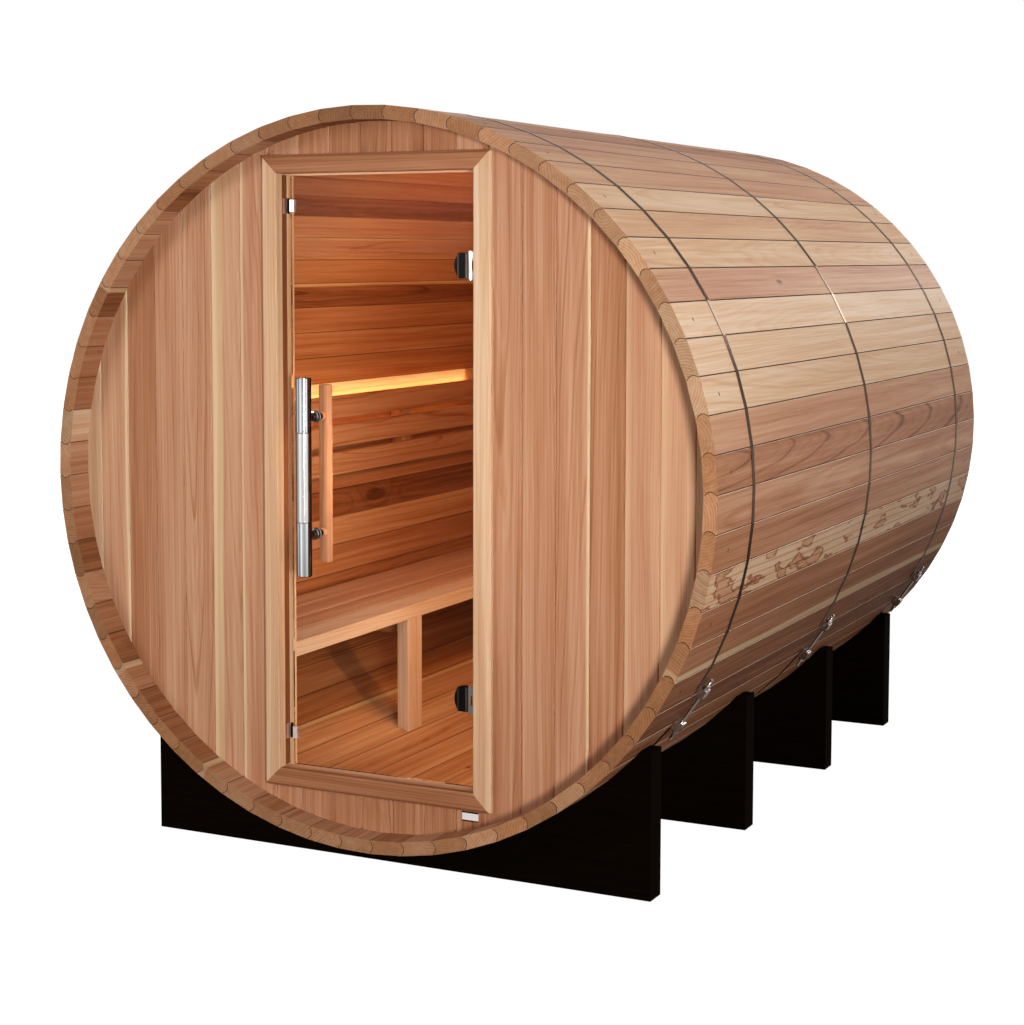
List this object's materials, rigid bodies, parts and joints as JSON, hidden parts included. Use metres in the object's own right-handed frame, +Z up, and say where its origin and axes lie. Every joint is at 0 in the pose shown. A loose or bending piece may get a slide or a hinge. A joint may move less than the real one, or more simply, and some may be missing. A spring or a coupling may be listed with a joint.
{
  "type": "barrel sauna",
  "caption": "Barrel-shaped wooden sauna cabin of strapped staves with boarded ends, a swinging glass door, a bench with a backrest inside, and cradles under it.",
  "frame": {"origin": "on the ground under the middle of the barrel", "axes": "+X to the right seen from the door end, +Y from the door end to the back, +Z up"},
  "size_m": [1.8338, 2.47, 1.8929],
  "materials": {
    "stave_wood": "planed softwood, mixed pale and red-brown boards, uncoated",
    "wall_wood": "planed softwood boards, uncoated",
    "frame_wood": "planed softwood, uncoated",
    "casing_wood": "planed softwood, pale, uncoated",
    "pull_wood": "turned hardwood, oiled",
    "bench_wood": "planed softwood, smooth",
    "cradle_wood": "black-stained board",
    "door_glass": "clear tempered glass",
    "chrome": "polished",
    "steel": "plain bright steel",
    "black_metal": "satin black",
    "black_magnet": "black moulded housing",
    "lamp_strip": "diffuser of a warm light strip"
  },
  "bodies": {
    "cabin": {"staves_top": "stave_wood", "staves_upper_right": "stave_wood", "staves_right": "stave_wood", "staves_lower_right": "stave_wood", "staves_bottom": "stave_wood", "staves_lower_left": "stave_wood", "staves_left": "stave_wood", "staves_upper_left": "stave_wood", "front_wall_left": "wall_wood", "front_wall_right": "wall_wood", "front_wall_over_door": "wall_wood", "front_wall_under_door": "wall_wood", "back_wall": "wall_wood", "door_jamb_left": "frame_wood", "door_jamb_right": "frame_wood", "door_head": "frame_wood", "door_sill": "frame_wood", "casing_top": "casing_wood", "casing_bottom": "casing_wood", "casing_left": "casing_wood", "casing_right": "casing_wood", "hinge_lower_leaf": "chrome", "hinge_upper_leaf": "chrome", "catch_plates": "steel", "catch_magnets": "black_magnet", "bench_slats": "bench_wood", "bench_bearers": "bench_wood", "bench_legs": "bench_wood", "backrest_slats": "bench_wood", "backrest_battens": "bench_wood", "light_strip": "lamp_strip", "strap_front": "steel", "tensioner_front": "steel", "strap_middle": "steel", "tensioner_middle": "steel", "strap_back": "steel", "tensioner_back": "steel", "cradle_front": "cradle_wood", "cradle_second": "cradle_wood", "cradle_third": "cradle_wood", "cradle_back": "cradle_wood"},
    "door": {"door_glass": "door_glass", "door_pull_outer": "chrome", "door_pull_inner": "pull_wood", "hinge_lower_clamp": "black_metal", "hinge_upper_clamp": "black_metal", "strike_clips": "steel"}
  },
  "joints": [
    {"name": "door_swing", "type": "hinge", "parent": "cabin", "child": "door", "pos_m": [0.258, -1.157, 0.982], "axis": [0, 0, 1], "range_deg": [0, 105]}
  ]
}
